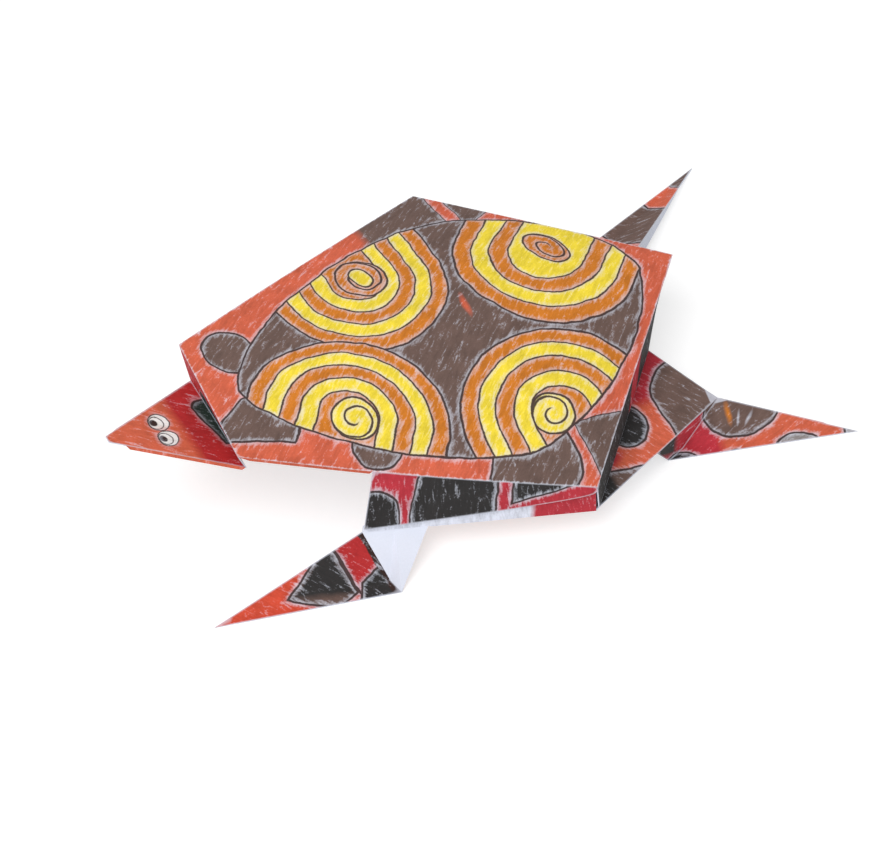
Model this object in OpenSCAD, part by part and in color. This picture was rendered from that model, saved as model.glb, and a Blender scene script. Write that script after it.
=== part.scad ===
// Folded paper turtle, standing on its four legs.
// It is one sheet: every panel is joined to its neighbour along a fold line, and the whole sheet is
// given its thickness at once, so each fold is mitred and nothing is glued or overlapped.
// Plan distances start under the rear corner of the shell. The head points to -X and the turtle's
// near side, its left, is -Y. The finished model is moved so that the middle of its bounding box is
// over the origin, with the table at z = 0.

/* [Paper] */
// Thickness of the folded paper
paper_t = 0.5; // [0.3:0.05:0.7]
// Gap between two layers of paper that are folded flat on each other
layer_gap = 0.4; // [0.3:0.05:0.8]

/* [Shell] */
// Plan length of the shell, from its rear corner to the front fold
shell_len = 105.9; // [96:0.1:130]
// Plan distance of the side corners from the rear corner
side_corner_at = 40.8; // [34:0.1:50]
// Half of the width between the side corners
shell_half_w = 43.3; // [38:0.1:55]
// Half of the length of the front fold
front_half_w = 15.4; // [14:0.1:22]
// Height of the rear corner over the table
rear_h = 20.2; // [18:0.2:28]
// How much higher the front fold is than the rear corner
front_rise = 9.4; // [6:0.2:16]
// Upward bow of the ridge at the middle of its length
ridge_bow = 1.4; // [0:0.1:4]
// How far the side corners hang below the ridge
side_droop = 10.1; // [5:0.1:11]
// Power of the cross curve, from 1 for a sharp crease to 2 for a soft arch
arch_power = 1.4; // [1:0.1:2]
// How far the near edge sags between its corners
near_sag = 1.7; // [0:0.1:3]
// Plan distance, from the rear corner, where the side walls end and the hems begin
wall_top_at = 82; // [74:0.5:88]

/* [Head] */
// Length of the head, from its base fold to the nose
head_len = 25.4; // [20:0.1:34]
// Half of the width of the head at its base fold
head_half_w = 12.5; // [10:0.1:15]
// Half of the width of the blunt nose
nose_half_w = 0.8; // [0.6:0.1:2]
// How far the neck drops from the front fold to the base of the head
neck_drop = 8.7; // [6:0.1:11]
// How far the base of the head lies behind the front fold
neck_setback = 1.4; // [0.5:0.1:3]
// Upward tilt of the head
head_pitch = 24; // [0:1:32]
// Turn of the head to the near side
head_yaw = 4; // [-10:1:10]
// Width of the hems under the shell's front and under the head, as shares of the half width
hem_share = 0.93; // [0.5:0.01:0.95]
// Share of the head's length, from its base, that its hems reach
head_hem_share = 0.88; // [0.6:0.02:0.9]

/* [Body] */
// Height of the belly over the table
belly_h = 7.5; // [5:0.5:10]
// Plan distance of the front foot of the side walls from the rear corner
wall_foot_at = 85.9; // [78:0.1:92]
// Half of the width between the front feet of the side walls
wall_foot_half_w = 28.1; // [25:0.1:34]
// How far the cuff's edge at the side corner stands out beyond the shell
side_splay = 1.1; // [0.6:0.1:2]
// Height of the cuff's slanting edge over the belly, at the wall's front end
cuff_front_h = 1.4; // [1:0.1:4]
// Height of the cuff's slanting edge over the belly, at the wall's rear end
cuff_rear_h = 6.4; // [3:0.1:7]
// How far the wall steps in under the cuff's edge
cuff_step = 0.6; // [0.5:0.1:1.5]
// Half of the gap where the two halves of the belly meet
seam_half = 0.5; // [0.4:0.1:1.5]
// Plan distance of the near rear flap's outer corner from the rear corner
near_flap_corner_at = 4.5; // [2:0.1:9]
// Half width at the outer corner of the near rear flap
near_flap_half_w = 29.6; // [24:0.2:36]
// Plan distance of the far rear flap's outer corner, which is folded further in
far_flap_corner_at = 0.5; // [-2:0.1:9]
// Half width at the outer corner of the far rear flap
far_flap_half_w = 13.6; // [12:0.2:36]
// Plan distance of the foot of the rear walls' bend from the rear corner
rear_foot_at = 11; // [10:0.5:14]
// Half width at the foot of the rear walls' bend
rear_foot_half_w = 11.8; // [9:0.2:12]
// Plan distance of the notch between the two rear flaps from the rear corner
notch_at = 16; // [15:0.5:22]

/* [Front legs] */
// Length of a front leg's root, along the foot of the side wall
front_root_len = 13.4; // [9:0.2:18]
// Plan length of the near front leg's inner edge
near_front_len = 34.5; // [26:0.5:42]
// Plan length of the far front leg's inner edge, which ends under the head
far_front_len = 28.5; // [24:0.5:42]
// How far the near front leg points outwards
near_front_out = 6; // [-20:1:25]
// How far the far front leg points outwards, negative for inwards
far_front_out = -26; // [-30:1:25]
// Plan distance of the heel from the inner end of the root
front_heel_len = 12.6; // [10:0.2:16]
// Angle in plan between the inner edge and the heel
front_heel_angle = 98; // [92:1:112]

/* [Rear legs] */
// Plan length of a rear leg's root, along the edge of the rear flap
rear_root_len = 15; // [11:0.2:18]
// Length of a rear leg's outer edge, which lies on the table
rear_leg_len = 41.5; // [32:0.5:50]
// How far the near rear leg's outer edge points outwards
near_rear_out = 15; // [6:1:30]
// How far the far rear leg's outer edge points outwards
far_rear_out = 18; // [6:1:30]
// How far the pleat over a rear leg's root runs on along the flap's edge
pleat_len = 4.7; // [2:0.1:8]
// Share of a leg's width that lies flat on the table
sole_share = 0.3; // [0.2:0.05:0.5]

/* [Hidden] */

NEAR = -1;
FAR = 1;
sole_h = paper_t / 2;
layer_step = paper_t + layer_gap;

// Steps across half of the shell, and along the rear, walled and hemmed stretches and the head
across_n = 5;
rear_n = 5;
wall_n = 5;
root_n = 2;
hem_n = 3;
head_n = 4;

// Two points are one when they are closer than this
same = 0.001;
// Faces that differ by less than this cosine lie on one smooth stretch of the paper
smooth = 0.93;
// Least share of a full turn between three folds that meet, below which their mean is used
least_turn = 0.15;
// How far that mean reaches, in half thicknesses of the paper
mean_reach = 1.2;

// A point by its plan distance from the rear corner, its sideways place and its height
function at(dist, side_y, height) = [-dist, side_y, height];
function mix(a, b, f) = a + (b - a) * f;
function unit(v) = v / norm(v);

// Half width of the shell: two straight stretches that meet at the side corner
function half_w_at(dist) = dist < side_corner_at
    ? shell_half_w * dist / side_corner_at
    : mix(shell_half_w, front_half_w, (dist - side_corner_at) / (shell_len - side_corner_at));

// Height of the ridge: a straight rise with a parabolic bow on it
function ridge_h_at(dist) = rear_h + front_rise * dist / shell_len
    + ridge_bow * 4 * (dist / shell_len) * (1 - dist / shell_len);

// Droop of the edge below the ridge: greatest at the side corner, none at the rear and front
function droop_at(dist) = side_droop * (dist < side_corner_at
    ? dist / side_corner_at
    : (shell_len - dist) / (shell_len - side_corner_at));

// Extra sag of the near edge between the side corner and the front fold, half a sine wave
function sag_at(dist, across) = across > 0 || dist < side_corner_at ? 0
    : near_sag * sin(180 * (dist - side_corner_at) / (shell_len - side_corner_at));

// Middle surface of the shell. across runs from -1 at the near edge to 1 at the far edge
function shell_point(dist, across) = at(dist, across * half_w_at(dist),
    ridge_h_at(dist) - (droop_at(dist) + sag_at(dist, across)) * pow(abs(across), arch_power));
function shell_edge(dist, side) = shell_point(dist, side);

// The head: its base fold, its lengthwise and sideways directions, and what is below it
head_base = at(shell_len - neck_setback, 0, rear_h + front_rise - neck_drop);
head_dir = [-cos(head_yaw) * cos(head_pitch), -sin(head_yaw) * cos(head_pitch), sin(head_pitch)];
head_side = [-sin(head_yaw), cos(head_yaw), 0];
head_down = cross(head_dir, head_side);
function head_half_at(f) = mix(head_half_w, nose_half_w, f);
function head_point(f, aside) = head_base + head_dir * head_len * f + head_side * aside;
head_shares = [for (i = [0 : head_n]) head_hem_share * i / head_n];

// Feet of the walls and the corners of the belly, for a side
function side_foot(side) = at(side_corner_at, side * (shell_half_w + side_splay - cuff_step), belly_h);
function wall_foot(side) = at(wall_foot_at, side * wall_foot_half_w, belly_h);
function flap_half_w(side) = side == NEAR ? near_flap_half_w : far_flap_half_w;
function flap_corner_at(side) = side == NEAR ? near_flap_corner_at : far_flap_corner_at;
function flap_corner(side) = at(flap_corner_at(side), side * flap_half_w(side), belly_h);
function notch(side) = at(notch_at, side * seam_half, belly_h);
function flap_dir(side) = unit(flap_corner(side) - side_foot(side));

// Shares along a side wall, from the side corner: the leg's root begins just past the belly's end
function root_share(side) = 1 - front_root_len / norm(wall_foot(side) - side_foot(side));
function belly_share(side) = root_share(side) - layer_step / norm(wall_foot(side) - side_foot(side));
function wall_shares(side) = concat(
    [for (i = [0 : wall_n]) belly_share(side) * i / wall_n],
    [for (i = [0 : root_n]) mix(root_share(side), 1, i / root_n)]);

// Stations of the shell: the rear edges, the walled stretch and the hemmed stretch
stations = concat(
    [for (i = [0 : rear_n - 1]) side_corner_at * i / rear_n],
    [for (f = wall_shares(NEAR)) mix(side_corner_at, wall_top_at, f)],
    [for (i = [1 : hem_n]) mix(wall_top_at, shell_len, i / hem_n)]);
acrosses = [for (j = [-across_n : across_n]) j / across_n];

// Triangles of a grid of points. Their front is to the left of the rows and columns, or to the
// right where turned is true. Triangles with two corners in one place are left out
function is_real(t) = norm(t[0] - t[1]) > same && norm(t[1] - t[2]) > same && norm(t[2] - t[0]) > same;
function turn(t, turned) = turned ? [t[0], t[2], t[1]] : t;
function grid_tris(g, turned) = [
    for (i = [0 : len(g) - 2])
        for (j = [0 : len(g[0]) - 2])
            for (t = [[g[i][j], g[i + 1][j], g[i + 1][j + 1]], [g[i][j], g[i + 1][j + 1], g[i][j + 1]]])
                if (is_real(t)) turn(t, turned)];
function list_tris(ts, turned) = [for (t = ts) turn(t, turned)];

// Shell, neck and head: one long grid that folds down at the front and out again at the head
spine_grid = concat(
    [for (d = stations) [for (a = acrosses) shell_point(d, a)]],
    [for (f = concat(head_shares, [1])) [for (a = acrosses) head_point(f, a * head_half_at(f))]]);

// Hem under the shell's front: it turns under at the edge and runs in to the ridge
hem_first = wall_top_at + layer_step;
hem_last = shell_len - neck_setback - layer_step;
function shell_hem(side) = [for (i = [0 : hem_n]) let (
        edge_at = mix(wall_top_at, shell_len, i / hem_n),
        under_at = mix(hem_first, hem_last, i / hem_n),
        down = [0, 0, -layer_step])
    [shell_edge(edge_at, side), shell_edge(under_at, side) + down,
     shell_point(under_at, side * (1 - hem_share) / 2) + down]];

// Hem under the head, which stops short of the base fold and the nose
function head_hem(side) = [for (f = head_shares) let (
        under = mix(layer_step, head_len - 2 * layer_step, f) / head_len,
        down = head_down * layer_step)
    [head_point(f, side * head_half_at(f)), head_point(under, side * head_half_at(under)) + down,
     head_point(under, side * head_half_at(under) * (1 - hem_share)) + down]];

// Side wall: it hangs from the shell's edge, steps in under the cuff and ends at the belly
function side_wall(side) = [for (f = wall_shares(NEAR)) let (
        top = shell_edge(mix(side_corner_at, wall_top_at, f), side),
        foot = mix(side_foot(side), wall_foot(side), f),
        out = foot + [0, side * cuff_step, 0],
        up = (mix(cuff_rear_h, cuff_front_h, sqrt(f))) / (top[2] - belly_h),
        cuff = mix(out, top, up))
    [top, cuff, cuff - [0, side * cuff_step, 0], foot]];

// Rear wall: it hangs from the shell's rear edge and ends just above the flap
function rear_foot(side) = at(rear_foot_at, side * rear_foot_half_w, belly_h + layer_step);
function rear_wall(side) = [for (i = [0 : rear_n]) let (
        top = shell_edge(side_corner_at * i / rear_n, side),
        corner = side_foot(side) + [layer_step, 0, layer_step],
        foot = i == 0 ? notch(side) + [0, 0, layer_step] : mix(rear_foot(side), corner, (i - 1) / (rear_n - 1)))
    [top, foot]];

// Half of the belly, folded in from the foot of the side wall, and the rear flap beyond it
function belly(side) = [for (i = [0 : wall_n]) let (f = i / wall_n)
    [mix(side_foot(side), mix(side_foot(side), wall_foot(side), belly_share(side)), f),
     mix(notch(side), at(mix(side_corner_at, wall_foot_at, belly_share(side)), side * seam_half, belly_h), f)]];

// Points of a rear leg: the pleat's end, the flap's corner, the root's foot, the sole and the toe
function rear_points(side, outwards) = let (
        corner = flap_corner(side),
        root = corner - flap_dir(side) * rear_root_len,
        ankle = mix(root, corner, sole_share))
    [corner - flap_dir(side) * (rear_root_len + pleat_len),
     corner,
     [root[0], root[1], sole_h],
     [ankle[0], ankle[1], sole_h],
     [root[0] + rear_leg_len * cos(outwards), root[1] + side * rear_leg_len * sin(outwards), sole_h]];

// The flap, the pleat under its edge and the rear leg, whose raised inner edge turns down
inner_wall_share = 0.75;
inner_wall_foot = 0.35;
function rear_leg(side, outwards) = let (
        p = rear_points(side, outwards),
        end = p[0], corner = p[1], heel = p[2], ankle = p[3], toe = p[4],
        knee = mix(corner, toe, inner_wall_share),
        foot = [corner[0], corner[1] - side * 2 * paper_t, belly_h * inner_wall_foot])
    [[side_foot(side), notch(side), end], [notch(side), corner, end],
     [corner, heel, end], [corner, ankle, heel],
     [heel, ankle, toe], [ankle, corner, knee], [ankle, knee, toe],
     [knee, corner, foot]];

// A front leg: a plain triangle beside the wall's foot, then the leg, whose outer edge lies flat
function front_leg(side, leg_len, outwards) = let (
        inner = wall_foot(side),
        outer = mix(side_foot(side), inner, root_share(side)),
        middle = mix(outer, inner, 1 / root_n),
        heel_dir = outwards + front_heel_angle,
        toe_flat = inner + leg_len * [-cos(outwards), side * sin(outwards), 0],
        heel_flat = inner + front_heel_len * [-cos(heel_dir), side * sin(heel_dir), 0],
        ankle_flat = mix(heel_flat, inner, sole_share),
        toe = [toe_flat[0], toe_flat[1], sole_h],
        heel = [heel_flat[0], heel_flat[1], sole_h],
        ankle = [ankle_flat[0], ankle_flat[1], sole_h])
    [[outer, middle, heel], [middle, inner, ankle], [middle, ankle, heel],
     [ankle, toe, heel], [inner, toe, ankle]];

// Every triangle of the sheet's middle surface
function half_tris(side, front_len, front_out, rear_out) = let (far = side == FAR) concat(
    grid_tris(shell_hem(side), far),
    grid_tris(head_hem(side), far),
    grid_tris(side_wall(side), far),
    grid_tris(rear_wall(side), far),
    grid_tris(belly(side), far),
    list_tris(rear_leg(side, rear_out), far),
    list_tris(front_leg(side, front_len, front_out), far));
sheet_tris = concat(
    grid_tris(spine_grid, true),
    half_tris(NEAR, near_front_len, near_front_out, near_rear_out),
    half_tris(FAR, far_front_len, far_front_out, far_rear_out));

// The sheet's points, each once, and its triangles as numbers of points
all_points = [for (t = sheet_tris) each t];
function first_like(p, list, i = 0) = norm(list[i] - p) < same ? i : first_like(p, list, i + 1);
firsts = [for (p = all_points) first_like(p, all_points)];
kept = [for (i = [0 : len(firsts) - 1]) if (firsts[i] == i) i];
sheet_points = [for (i = kept) all_points[i]];
numbers = search(firsts, kept);
sheet_faces = [for (i = [0 : 3 : len(numbers) - 1]) [numbers[i], numbers[i + 1], numbers[i + 2]]];
face_normals = [for (t = sheet_tris) unit(cross(t[1] - t[0], t[2] - t[0]))];

// Way from the middle surface to the paper's face at a point, in half thicknesses: the faces around
// the point are sorted into smooth stretches, and the way reaches the plane of each stretch
function total(ns, i = 0) = i == len(ns) ? [0, 0, 0] : ns[i] + total(ns, i + 1);
function alike(ns, n) = [for (m = ns) if (m * n > smooth) m];
function others(ns, n) = [for (m = ns) if (m * n <= smooth) m];
function stretches(ns) = len(ns) == 0 ? [] : concat([unit(total(alike(ns, ns[0])))], stretches(others(ns, ns[0])));
function two_way(a, b) = (a + b) / (1 + a * b);
function three_way(a, b, c) = let (turn_share = a * cross(b, c))
    abs(turn_share) < least_turn ? unit(a + b + c) * mean_reach
    : (cross(b, c) + cross(c, a) + cross(a, b)) / turn_share;
function way(s) = len(s) == 1 ? s[0] : len(s) == 2 ? two_way(s[0], s[1]) : three_way(s[0], s[1], s[2]);
function around(v) = [for (i = [0 : len(sheet_faces) - 1]) let (f = sheet_faces[i])
    if (f[0] == v || f[1] == v || f[2] == v) face_normals[i]];
ways = [for (v = [0 : len(sheet_points) - 1]) way(stretches(around(v))) * paper_t / 2];

// The sheet's free edges: those that no second triangle shares
directed = [for (f = sheet_faces) each [[f[0], f[1]], [f[1], f[2]], [f[2], f[0]]]];
function edge_key(e) = e[0] * len(sheet_points) + e[1];
edge_keys = [for (e = directed) edge_key(e)];
free_edges = [for (e = directed) if (len(search(edge_key([e[1], e[0]]), edge_keys)) == 0) e];

// The thick sheet: the middle surface moved to both faces, closed along the free edges
module thick_sheet() {
    n = len(sheet_points);
    front = [for (i = [0 : n - 1]) sheet_points[i] + ways[i]];
    back = [for (i = [0 : n - 1]) sheet_points[i] - ways[i]];
    polyhedron(
        points = concat(front, back),
        faces = concat(
            [for (f = sheet_faces) [f[0], f[2], f[1]]],
            [for (f = sheet_faces) [f[0] + n, f[1] + n, f[2] + n]],
            [for (e = free_edges) each [[e[0], e[1], e[1] + n], [e[0], e[1] + n, e[0] + n]]]));
}

// Middle of the bounding box in plan, from the sheet's outermost points
mid_x = (min([for (p = sheet_points) p[0]]) + max([for (p = sheet_points) p[0]])) / 2;
mid_y = (min([for (p = sheet_points) p[1]]) + max([for (p = sheet_points) p[1]])) / 2;

module folded_sheet() {
    color("coral")
        translate([-mid_x, -mid_y, 0])
            thick_sheet();
}

folded_sheet();
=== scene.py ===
"""Paper turtle: the dressed model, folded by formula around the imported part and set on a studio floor."""

import math

import bpy
import numpy as np
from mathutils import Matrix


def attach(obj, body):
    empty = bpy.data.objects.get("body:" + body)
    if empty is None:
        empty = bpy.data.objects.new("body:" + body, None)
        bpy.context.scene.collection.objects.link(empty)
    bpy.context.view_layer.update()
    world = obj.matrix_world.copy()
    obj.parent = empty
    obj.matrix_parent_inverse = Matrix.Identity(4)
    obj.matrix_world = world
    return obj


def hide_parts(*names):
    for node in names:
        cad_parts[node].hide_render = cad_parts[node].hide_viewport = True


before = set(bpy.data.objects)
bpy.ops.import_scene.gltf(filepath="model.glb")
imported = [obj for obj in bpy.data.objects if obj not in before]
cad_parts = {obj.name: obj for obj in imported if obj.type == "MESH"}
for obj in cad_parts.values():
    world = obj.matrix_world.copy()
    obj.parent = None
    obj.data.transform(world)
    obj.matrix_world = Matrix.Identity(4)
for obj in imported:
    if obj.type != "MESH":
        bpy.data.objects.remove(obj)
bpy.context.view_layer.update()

bl_info = {
    "name": "Paper Turtle",
    "version": (1, 0, 0),
    "blender": (4, 5, 0),
    "location": "3D View > Sidebar > Turtle",
    "description": "Folds a turtle from one printed sheet of paper and lights it",
    "category": "Add Mesh",
}

PIECE = "paper_turtle"
UV_MAP = "print_mm"
EDGE_MM = "edge_mm"
NEAR = -1
FAR = 1
MM = 0.001

# Sizes in mm that follow from the folds and that nobody changes alone
WALL_TOP_AT = 82.0
WALL_FOOT_AT = 85.9
WALL_FOOT_HALF = 28.1
NOSE_HALF = 0.8
NECK_SETBACK = 1.4
ARCH_POWER = 1.4
HEM_SHARE = 0.93
HEAD_HEM_SHARE = 0.88
SIDE_SPLAY = 1.1
CUFF_STEP = 0.6
CUFF_REAR_H = 6.4
CUFF_FRONT_H = 1.4
SEAM_HALF = 0.5
NOTCH_AT = 16.0
REAR_FOOT = (11.0, 11.8)
FRONT_ROOT = 13.4
FRONT_HEEL = 12.6
FRONT_HEEL_TURN = math.radians(98)
REAR_ROOT = 15.0
PLEAT = 4.7
SOLE_SHARE = 0.3
KNEE_SHARE = 0.75
TURN_DOWN_SHARE = 0.65
REAR_BEND_SHARE = 0.2
FLAP_CORNER = {NEAR: (4.5, 29.6), FAR: (0.5, 13.6)}

# The middle of a sole lies this share of the paper's thickness over the table
SOLE_LIFT = 0.6

# Handling waves: the height of the first of their sines, and how far from a fold they grow, in mm
WAVE_HEIGHT = 0.12
WAVE_REACH = 7.0

# Neighbours that differ by more than this meet at a fold, where the print is worn and a highlight is
# painted, and past the second angle the shading breaks
FOLD_ANGLE = math.radians(50)
SHARP_ANGLE = math.radians(20)

# How far a mitre may reach, in half thicknesses, and the pull that keeps flat ground steady
MITRE_MAX = 1.5
MITRE_EASE = 0.01

# Points are one point if they are alike to a micrometre. The shift keeps round sizes, which end in
# whole or half micrometres, away from the border between two of them
WELDS_PER_MM = 1000
WELD_SHIFT = 0.31

# The shell's oval on the print, in mm: its middle, its reach ahead and behind, its half width
OVAL_MIDDLE = (48.5, -0.7)
OVAL_AHEAD = 51.0
OVAL_BEHIND = 39.8
OVAL_HALF = 31.9

# A curl's pitch and the radius where its line ends, as shares of its own radius
CURL_PITCH = 0.62
CURL_CORE = 0.28

# Clips an arch's lengthwise coordinate at its middle, so that behind it the sides run parallel
AHEAD_ONLY = (0, -99, 0)

# Half of the blur at the border of a painted region, in mm: sharp, crayon smear and soft change
SHARP = 0.12
SMEAR = 0.7
SOFT = 1.2

# Studio: half the floor's side and the lamp's place and size in metres, and the floor's own glow
FLOOR_HALF = 3.0
LAMP_PLACE = (-0.35, -0.15, 0.75)
LAMP_SIZE = 0.6
FLOOR_GREY = (0.5, 0.5, 0.5, 1)
FLOOR_GLOW = 0.62
WHITE = (1, 1, 1, 1)

# Steps of the grids: about a millimetre on the shell, and the same on every edge that is shared
ACROSS_STEPS = 40
REAR_STEPS = 36
WALL_STEPS = 36
HEM_STEPS = 24
EDGE_STEPS = 10
HEAD_STEPS = 24
WALL_ROWS = 6
NECK_ROWS = 6

# Points that are measured at a time, which bounds the memory
CHUNK = 512


def linear(code):
    """Linear red, green and blue of an sRGB hex code, by the sRGB curve."""
    parts = [int(code[i:i + 2], 16) / 255 for i in (1, 3, 5)]
    return tuple(c / 12.92 if c <= 0.04045 else ((c + 0.055) / 1.055) ** 2.4 for c in parts)


def length(name, text, default):
    """A size of the sheet, given in mm and kept in metres."""
    return bpy.props.FloatProperty(
        name=name, description=text, default=default * MM, min=0, precision=4,
        subtype="DISTANCE", unit="LENGTH")


def angle(name, text, default):
    """An angle of a fold, given in degrees and kept in radians."""
    return bpy.props.FloatProperty(
        name=name, description=text, default=math.radians(default), subtype="ANGLE", unit="ROTATION")


def colour(name, text, code):
    """A colour of the print, given as an sRGB hex code and kept as linear light."""
    return bpy.props.FloatVectorProperty(
        name=name, description=text, default=linear(code), size=3, min=0, max=1, subtype="COLOR")


class TurtleSizes(bpy.types.PropertyGroup):
    """Sizes of the folded sheet."""

    paper: length("Paper", "Thickness of the paper as it is drawn", 0.26)
    layer: length("Layer step", "Height of one layer of paper over the next", 0.6)
    shell: length("Shell length", "Plan length from the rear corner to the front fold", 105.9)
    corner_at: length("Side corner", "Plan distance of the side corners from the rear corner", 40.8)
    shell_half: length("Shell half width", "Half of the width between the side corners", 43.3)
    front_half: length("Front half width", "Half of the length of the front fold", 15.4)
    rear_h: length("Rear height", "Height of the rear corner over the table", 20.2)
    rise: length("Front rise", "How much higher the front fold is than the rear corner", 9.4)
    bow: length("Ridge bow", "Upward bow of the ridge at its middle", 1.4)
    droop: length("Side droop", "How far the side corners hang below the ridge", 10.1)
    sag: length("Near sag", "How far the near edge sags between its corners", 1.7)
    head: length("Head length", "Length of the head from its base fold to the nose", 25.4)
    head_half: length("Head half width", "Half of the width of the head at its base fold", 12.5)
    neck_drop: length("Neck drop", "Drop from the front fold to the base of the head", 8.7)
    belly_h: length("Belly height", "Height of the belly over the table", 7.5)
    near_front: length("Near front leg", "Plan length of the near front leg's inner edge", 34.5)
    far_front: length("Far front leg", "Plan length of the far front leg's inner edge", 28.5)
    rear_leg: length("Rear legs", "Length of the rear legs' outer edges", 41.5)
    head_pitch: angle("Head pitch", "Upward tilt of the head", 24)
    head_yaw: angle("Head yaw", "Turn of the head to the near side", 4)
    near_front_out: angle("Near front leg out", "How far the near front leg points outwards", 6)
    far_front_out: angle("Far front leg out", "How far the far front leg points outwards", -26)
    near_rear_out: angle("Near rear leg out", "How far the near rear leg points outwards", 15)
    far_rear_out: angle("Far rear leg out", "How far the far rear leg points outwards", 18)


class TurtleColours(bpy.types.PropertyGroup):
    """Colours of the print and of the paper."""

    # The bluish grey of the bare paper is painted cool shade: the sheet itself is white
    paper: colour("Paper", "Bare reverse of the sheet", "#DEE2EF")
    coral: colour("Coral", "Ground of the shell's border and the rear legs", "#CF6246")
    # On the neck under the shell's front edge, this red is painted shade
    red: colour("Red", "Ground near the head's base, and the front leg's block", "#B22B2D")
    scarlet: colour("Scarlet", "Ground of the front legs", "#CA4A33")
    crimson: colour("Crimson", "Ground of the walls and the rear flaps", "#B8323E")
    brown: colour("Brown", "Ground inside the shell's oval, and its blotches", "#69544D")
    black: colour("Black", "Blotches of the walls and the legs", "#2C2A2A")
    yellow: colour("Yellow", "Pale bands of the curls", "#EFD63C")
    ochre: colour("Ochre", "Dark bands of the curls", "#CC7824")
    green: colour("Green black", "Dark bar at the head's base", "#25322C")
    grey: colour("Grey", "Worn tips and blobs of the rear legs", "#8E8786")
    ink: colour("Ink", "Outlines of the print", "#34211D")
    white: colour("Eye white", "White of the eyes", "#F3EFEA")


class TurtleStudio(bpy.types.PropertyGroup):
    """Light, floor and camera."""

    sky: bpy.props.FloatProperty(
        name="Sky", description="Strength of the even light from all round", default=0.52, min=0)
    key: bpy.props.FloatProperty(
        name="Key", description="Power of the soft lamp", default=4.6, min=0, unit="POWER")
    floor: colour("Floor", "Colour of the floor", "#F7F7F7")
    eye: bpy.props.FloatVectorProperty(
        name="Camera place", description="Place of the camera", default=(-0.12923, -0.25871, 0.38343),
        size=3, subtype="TRANSLATION", unit="LENGTH")
    aim: bpy.props.FloatVectorProperty(
        name="Aim", description="Point that the camera looks at", default=(-0.01292, -0.01633, 0.015),
        size=3, subtype="TRANSLATION", unit="LENGTH")
    lens: bpy.props.FloatProperty(
        name="Focal length", description="Focal length on a sensor 36 mm wide", default=91.38,
        min=1, unit="CAMERA")


# The fold

def mix(a, b, f):
    """The point or number at share f of the way from a to b."""
    return a + (b - a) * f


def shares(steps):
    """Even shares from 0 to 1, one more than the steps."""
    return np.linspace(0, 1, steps + 1)


def pair(along, across):
    """Places on a panel from their two coordinates, which may be a row and a column."""
    return np.stack(np.broadcast_arrays(along, across), -1)


def at(dist, aside, height):
    """Points from their plan distance from the rear corner, their sideways place and height."""
    return np.stack(np.broadcast_arrays(-np.asarray(dist, float), aside, height), -1).astype(float)


def unit(v):
    """v at length one."""
    return v / np.linalg.norm(v, axis=-1, keepdims=True)


def in_mm(sizes):
    """The sheet's sizes as plain numbers: lengths in mm, angles in radians."""
    numbers = {}
    for name, kind in sizes.bl_rna.properties.items():
        if kind.type == "FLOAT":
            numbers[name] = getattr(sizes, name) * (1 / MM if kind.unit == "LENGTH" else 1)
    return numbers


def half_width(s, dist):
    """Half width of the shell: two straight stretches that meet at the side corner."""
    front = mix(s["shell_half"], s["front_half"], (dist - s["corner_at"]) / (s["shell"] - s["corner_at"]))
    return np.where(dist < s["corner_at"], s["shell_half"] * dist / s["corner_at"], front)


def shell_point(s, dist, across):
    """The shell: a straight ridge with a parabolic bow, from which the sides droop by a power of
    their share of the half width; the near edge sags by half a sine wave more."""
    u = dist / s["shell"]
    past = (dist - s["corner_at"]) / (s["shell"] - s["corner_at"])
    ridge = s["rear_h"] + s["rise"] * u + s["bow"] * 4 * u * (1 - u)
    droop = s["droop"] * np.where(past < 0, dist / s["corner_at"], 1 - past)
    sag = np.where((past > 0) & (across < 0), s["sag"] * np.sin(np.pi * past), 0)
    return at(dist, across * half_width(s, dist), ridge - (droop + sag) * np.abs(across) ** ARCH_POWER)


def head_axes(s):
    """The head's base, its lengthwise and sideways directions, and what is below it."""
    base = at(s["shell"] - NECK_SETBACK, 0, s["rear_h"] + s["rise"] - s["neck_drop"])
    flat = math.cos(s["head_pitch"])
    ahead = np.array([-math.cos(s["head_yaw"]) * flat, -math.sin(s["head_yaw"]) * flat,
                      math.sin(s["head_pitch"])])
    aside = np.array([-math.sin(s["head_yaw"]), math.cos(s["head_yaw"]), 0])
    return base, ahead, aside, np.cross(ahead, aside)


def head_point(s, share, across):
    """The head: a flat wedge, whose half width falls in a straight line to the nose."""
    base, ahead, aside, _ = head_axes(s)
    half = mix(s["head_half"], NOSE_HALF, share)
    return base + ahead * (s["head"] * share)[..., None] + aside * (across * half)[..., None]


def side_foot(s, side):
    """Foot of the side wall under the side corner."""
    return at(s["corner_at"], side * (s["shell_half"] + SIDE_SPLAY - CUFF_STEP), s["belly_h"])


def wall_foot(s, side):
    """Foot of the side wall at its front end."""
    return at(WALL_FOOT_AT, side * WALL_FOOT_HALF, s["belly_h"])


def wall_shares(s):
    """Shares along a wall: those over the belly, then those over the front leg's root."""
    run = np.linalg.norm(wall_foot(s, NEAR) - side_foot(s, NEAR))
    root = 1 - FRONT_ROOT / run
    over_belly = np.linspace(0, root - s["layer"] / run, WALL_STEPS + 1)
    return over_belly, np.linspace(root, 1, 2 * EDGE_STEPS + 1), run


def frame_of(origin, ahead, aside):
    """Flat axes in a panel: from the origin towards ahead, and square to that towards aside."""
    x = unit(ahead - origin)
    y = aside - origin
    return origin, x, unit(y - x * (y @ x))


def flat_place(points, axes):
    """Places of points on a panel's axes, in mm."""
    origin, x, y = axes
    return np.stack([(points - origin) @ x, (points - origin) @ y], -1)


def patch(points, places, front, back, turned=False):
    """One panel of the sheet: a grid of points, their places on the print, and the papers on its
    front and back. The front is to the left of rows and columns, or to the right where turned."""
    return {"points": points, "places": places, "front": front, "back": back, "turned": turned}


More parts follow.
